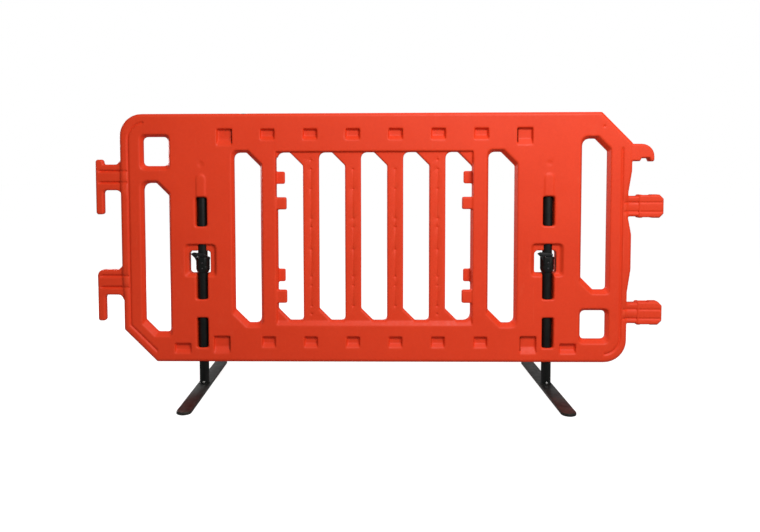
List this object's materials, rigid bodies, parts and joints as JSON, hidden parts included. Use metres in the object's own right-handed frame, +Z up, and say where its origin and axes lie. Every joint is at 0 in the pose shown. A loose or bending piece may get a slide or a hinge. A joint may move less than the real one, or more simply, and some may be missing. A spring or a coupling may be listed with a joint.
{
  "type": "water filled barrier",
  "caption": "Hollow moulded pedestrian barricade panel with slatted windows, end hooks and socket tabs, on folding steel legs with latches.",
  "frame": {"origin": "centre of the footprint, on the floor", "axes": "+X along the panel from its hooks to its socket tabs, -Y out of its front face, +Z up"},
  "size_m": [2.0535, 0.72, 1],
  "materials": {
    "panel_plastic": "satin moulded polyethylene, orange-red",
    "black_plastic": "satin black moulding",
    "black_steel": "black powder coat",
    "foot_steel": "dark grey coat, scuffed",
    "bright_zinc": "zinc plate",
    "seal_rubber": "matt"
  },
  "bodies": {
    "panel_body": {"panel": "panel_plastic", "fill_cap_seal": "seal_rubber", "drain_plug_seal": "seal_rubber"},
    "left_leg": {"left_leg_post": "black_steel", "left_post_cap": "black_plastic", "left_foot_bar": "foot_steel", "left_foot_spigot": "foot_steel", "left_foot_rivet": "bright_zinc", "left_lock_collar": "black_steel", "left_collar_rivet_upper": "black_steel", "left_collar_rivet_lower": "black_steel", "left_lever_pin": "bright_zinc", "left_lever_spring": "bright_zinc"},
    "left_lever": {"left_lock_lever": "black_plastic"},
    "right_leg": {"right_leg_post": "black_steel", "right_post_cap": "black_plastic", "right_foot_bar": "foot_steel", "right_foot_spigot": "foot_steel", "right_foot_rivet": "bright_zinc", "right_lock_collar": "black_steel", "right_collar_rivet_upper": "black_steel", "right_collar_rivet_lower": "black_steel", "right_lever_pin": "bright_zinc", "right_lever_spring": "bright_zinc"},
    "right_lever": {"right_lock_lever": "black_plastic"},
    "fill_cap_body": {"fill_cap": "black_plastic"},
    "drain_plug_body": {"drain_plug": "black_plastic"}
  },
  "joints": [
    {"name": "left_leg_swing", "type": "hinge", "parent": "panel_body", "child": "left_leg", "pos_m": [-0.64025, 0, 0.4], "axis": [0, 0, 1], "range_deg": [0, 90]},
    {"name": "left_lever_press", "type": "hinge", "parent": "left_leg", "child": "left_lever", "pos_m": [-0.63025, -0.0217, 0.487], "axis": [0, -1, 0], "range_deg": [0, 8], "stiffness_Nm_per_rad": 0.15, "springref_deg": -17.19, "deforming": ["left_lever_spring"]},
    {"name": "right_leg_swing", "type": "hinge", "parent": "panel_body", "child": "right_leg", "pos_m": [0.61575, 0, 0.4], "axis": [0, 0, 1], "range_deg": [0, 90]},
    {"name": "right_lever_press", "type": "hinge", "parent": "right_leg", "child": "right_lever", "pos_m": [0.62575, -0.0217, 0.487], "axis": [0, -1, 0], "range_deg": [0, 8], "stiffness_Nm_per_rad": 0.15, "springref_deg": -17.19, "deforming": ["right_lever_spring"]},
    {"name": "fill_cap_turn", "type": "hinge", "parent": "panel_body", "child": "fill_cap_body", "pos_m": [-0.48325, 0, 1], "axis": [0, 0, 1], "range_deg": [0, 90]},
    {"name": "drain_plug_turn", "type": "hinge", "parent": "panel_body", "child": "drain_plug_body", "pos_m": [-0.48325, 0.025, 0.152], "axis": [0, 1, 0], "range_deg": [0, 90]}
  ]
}
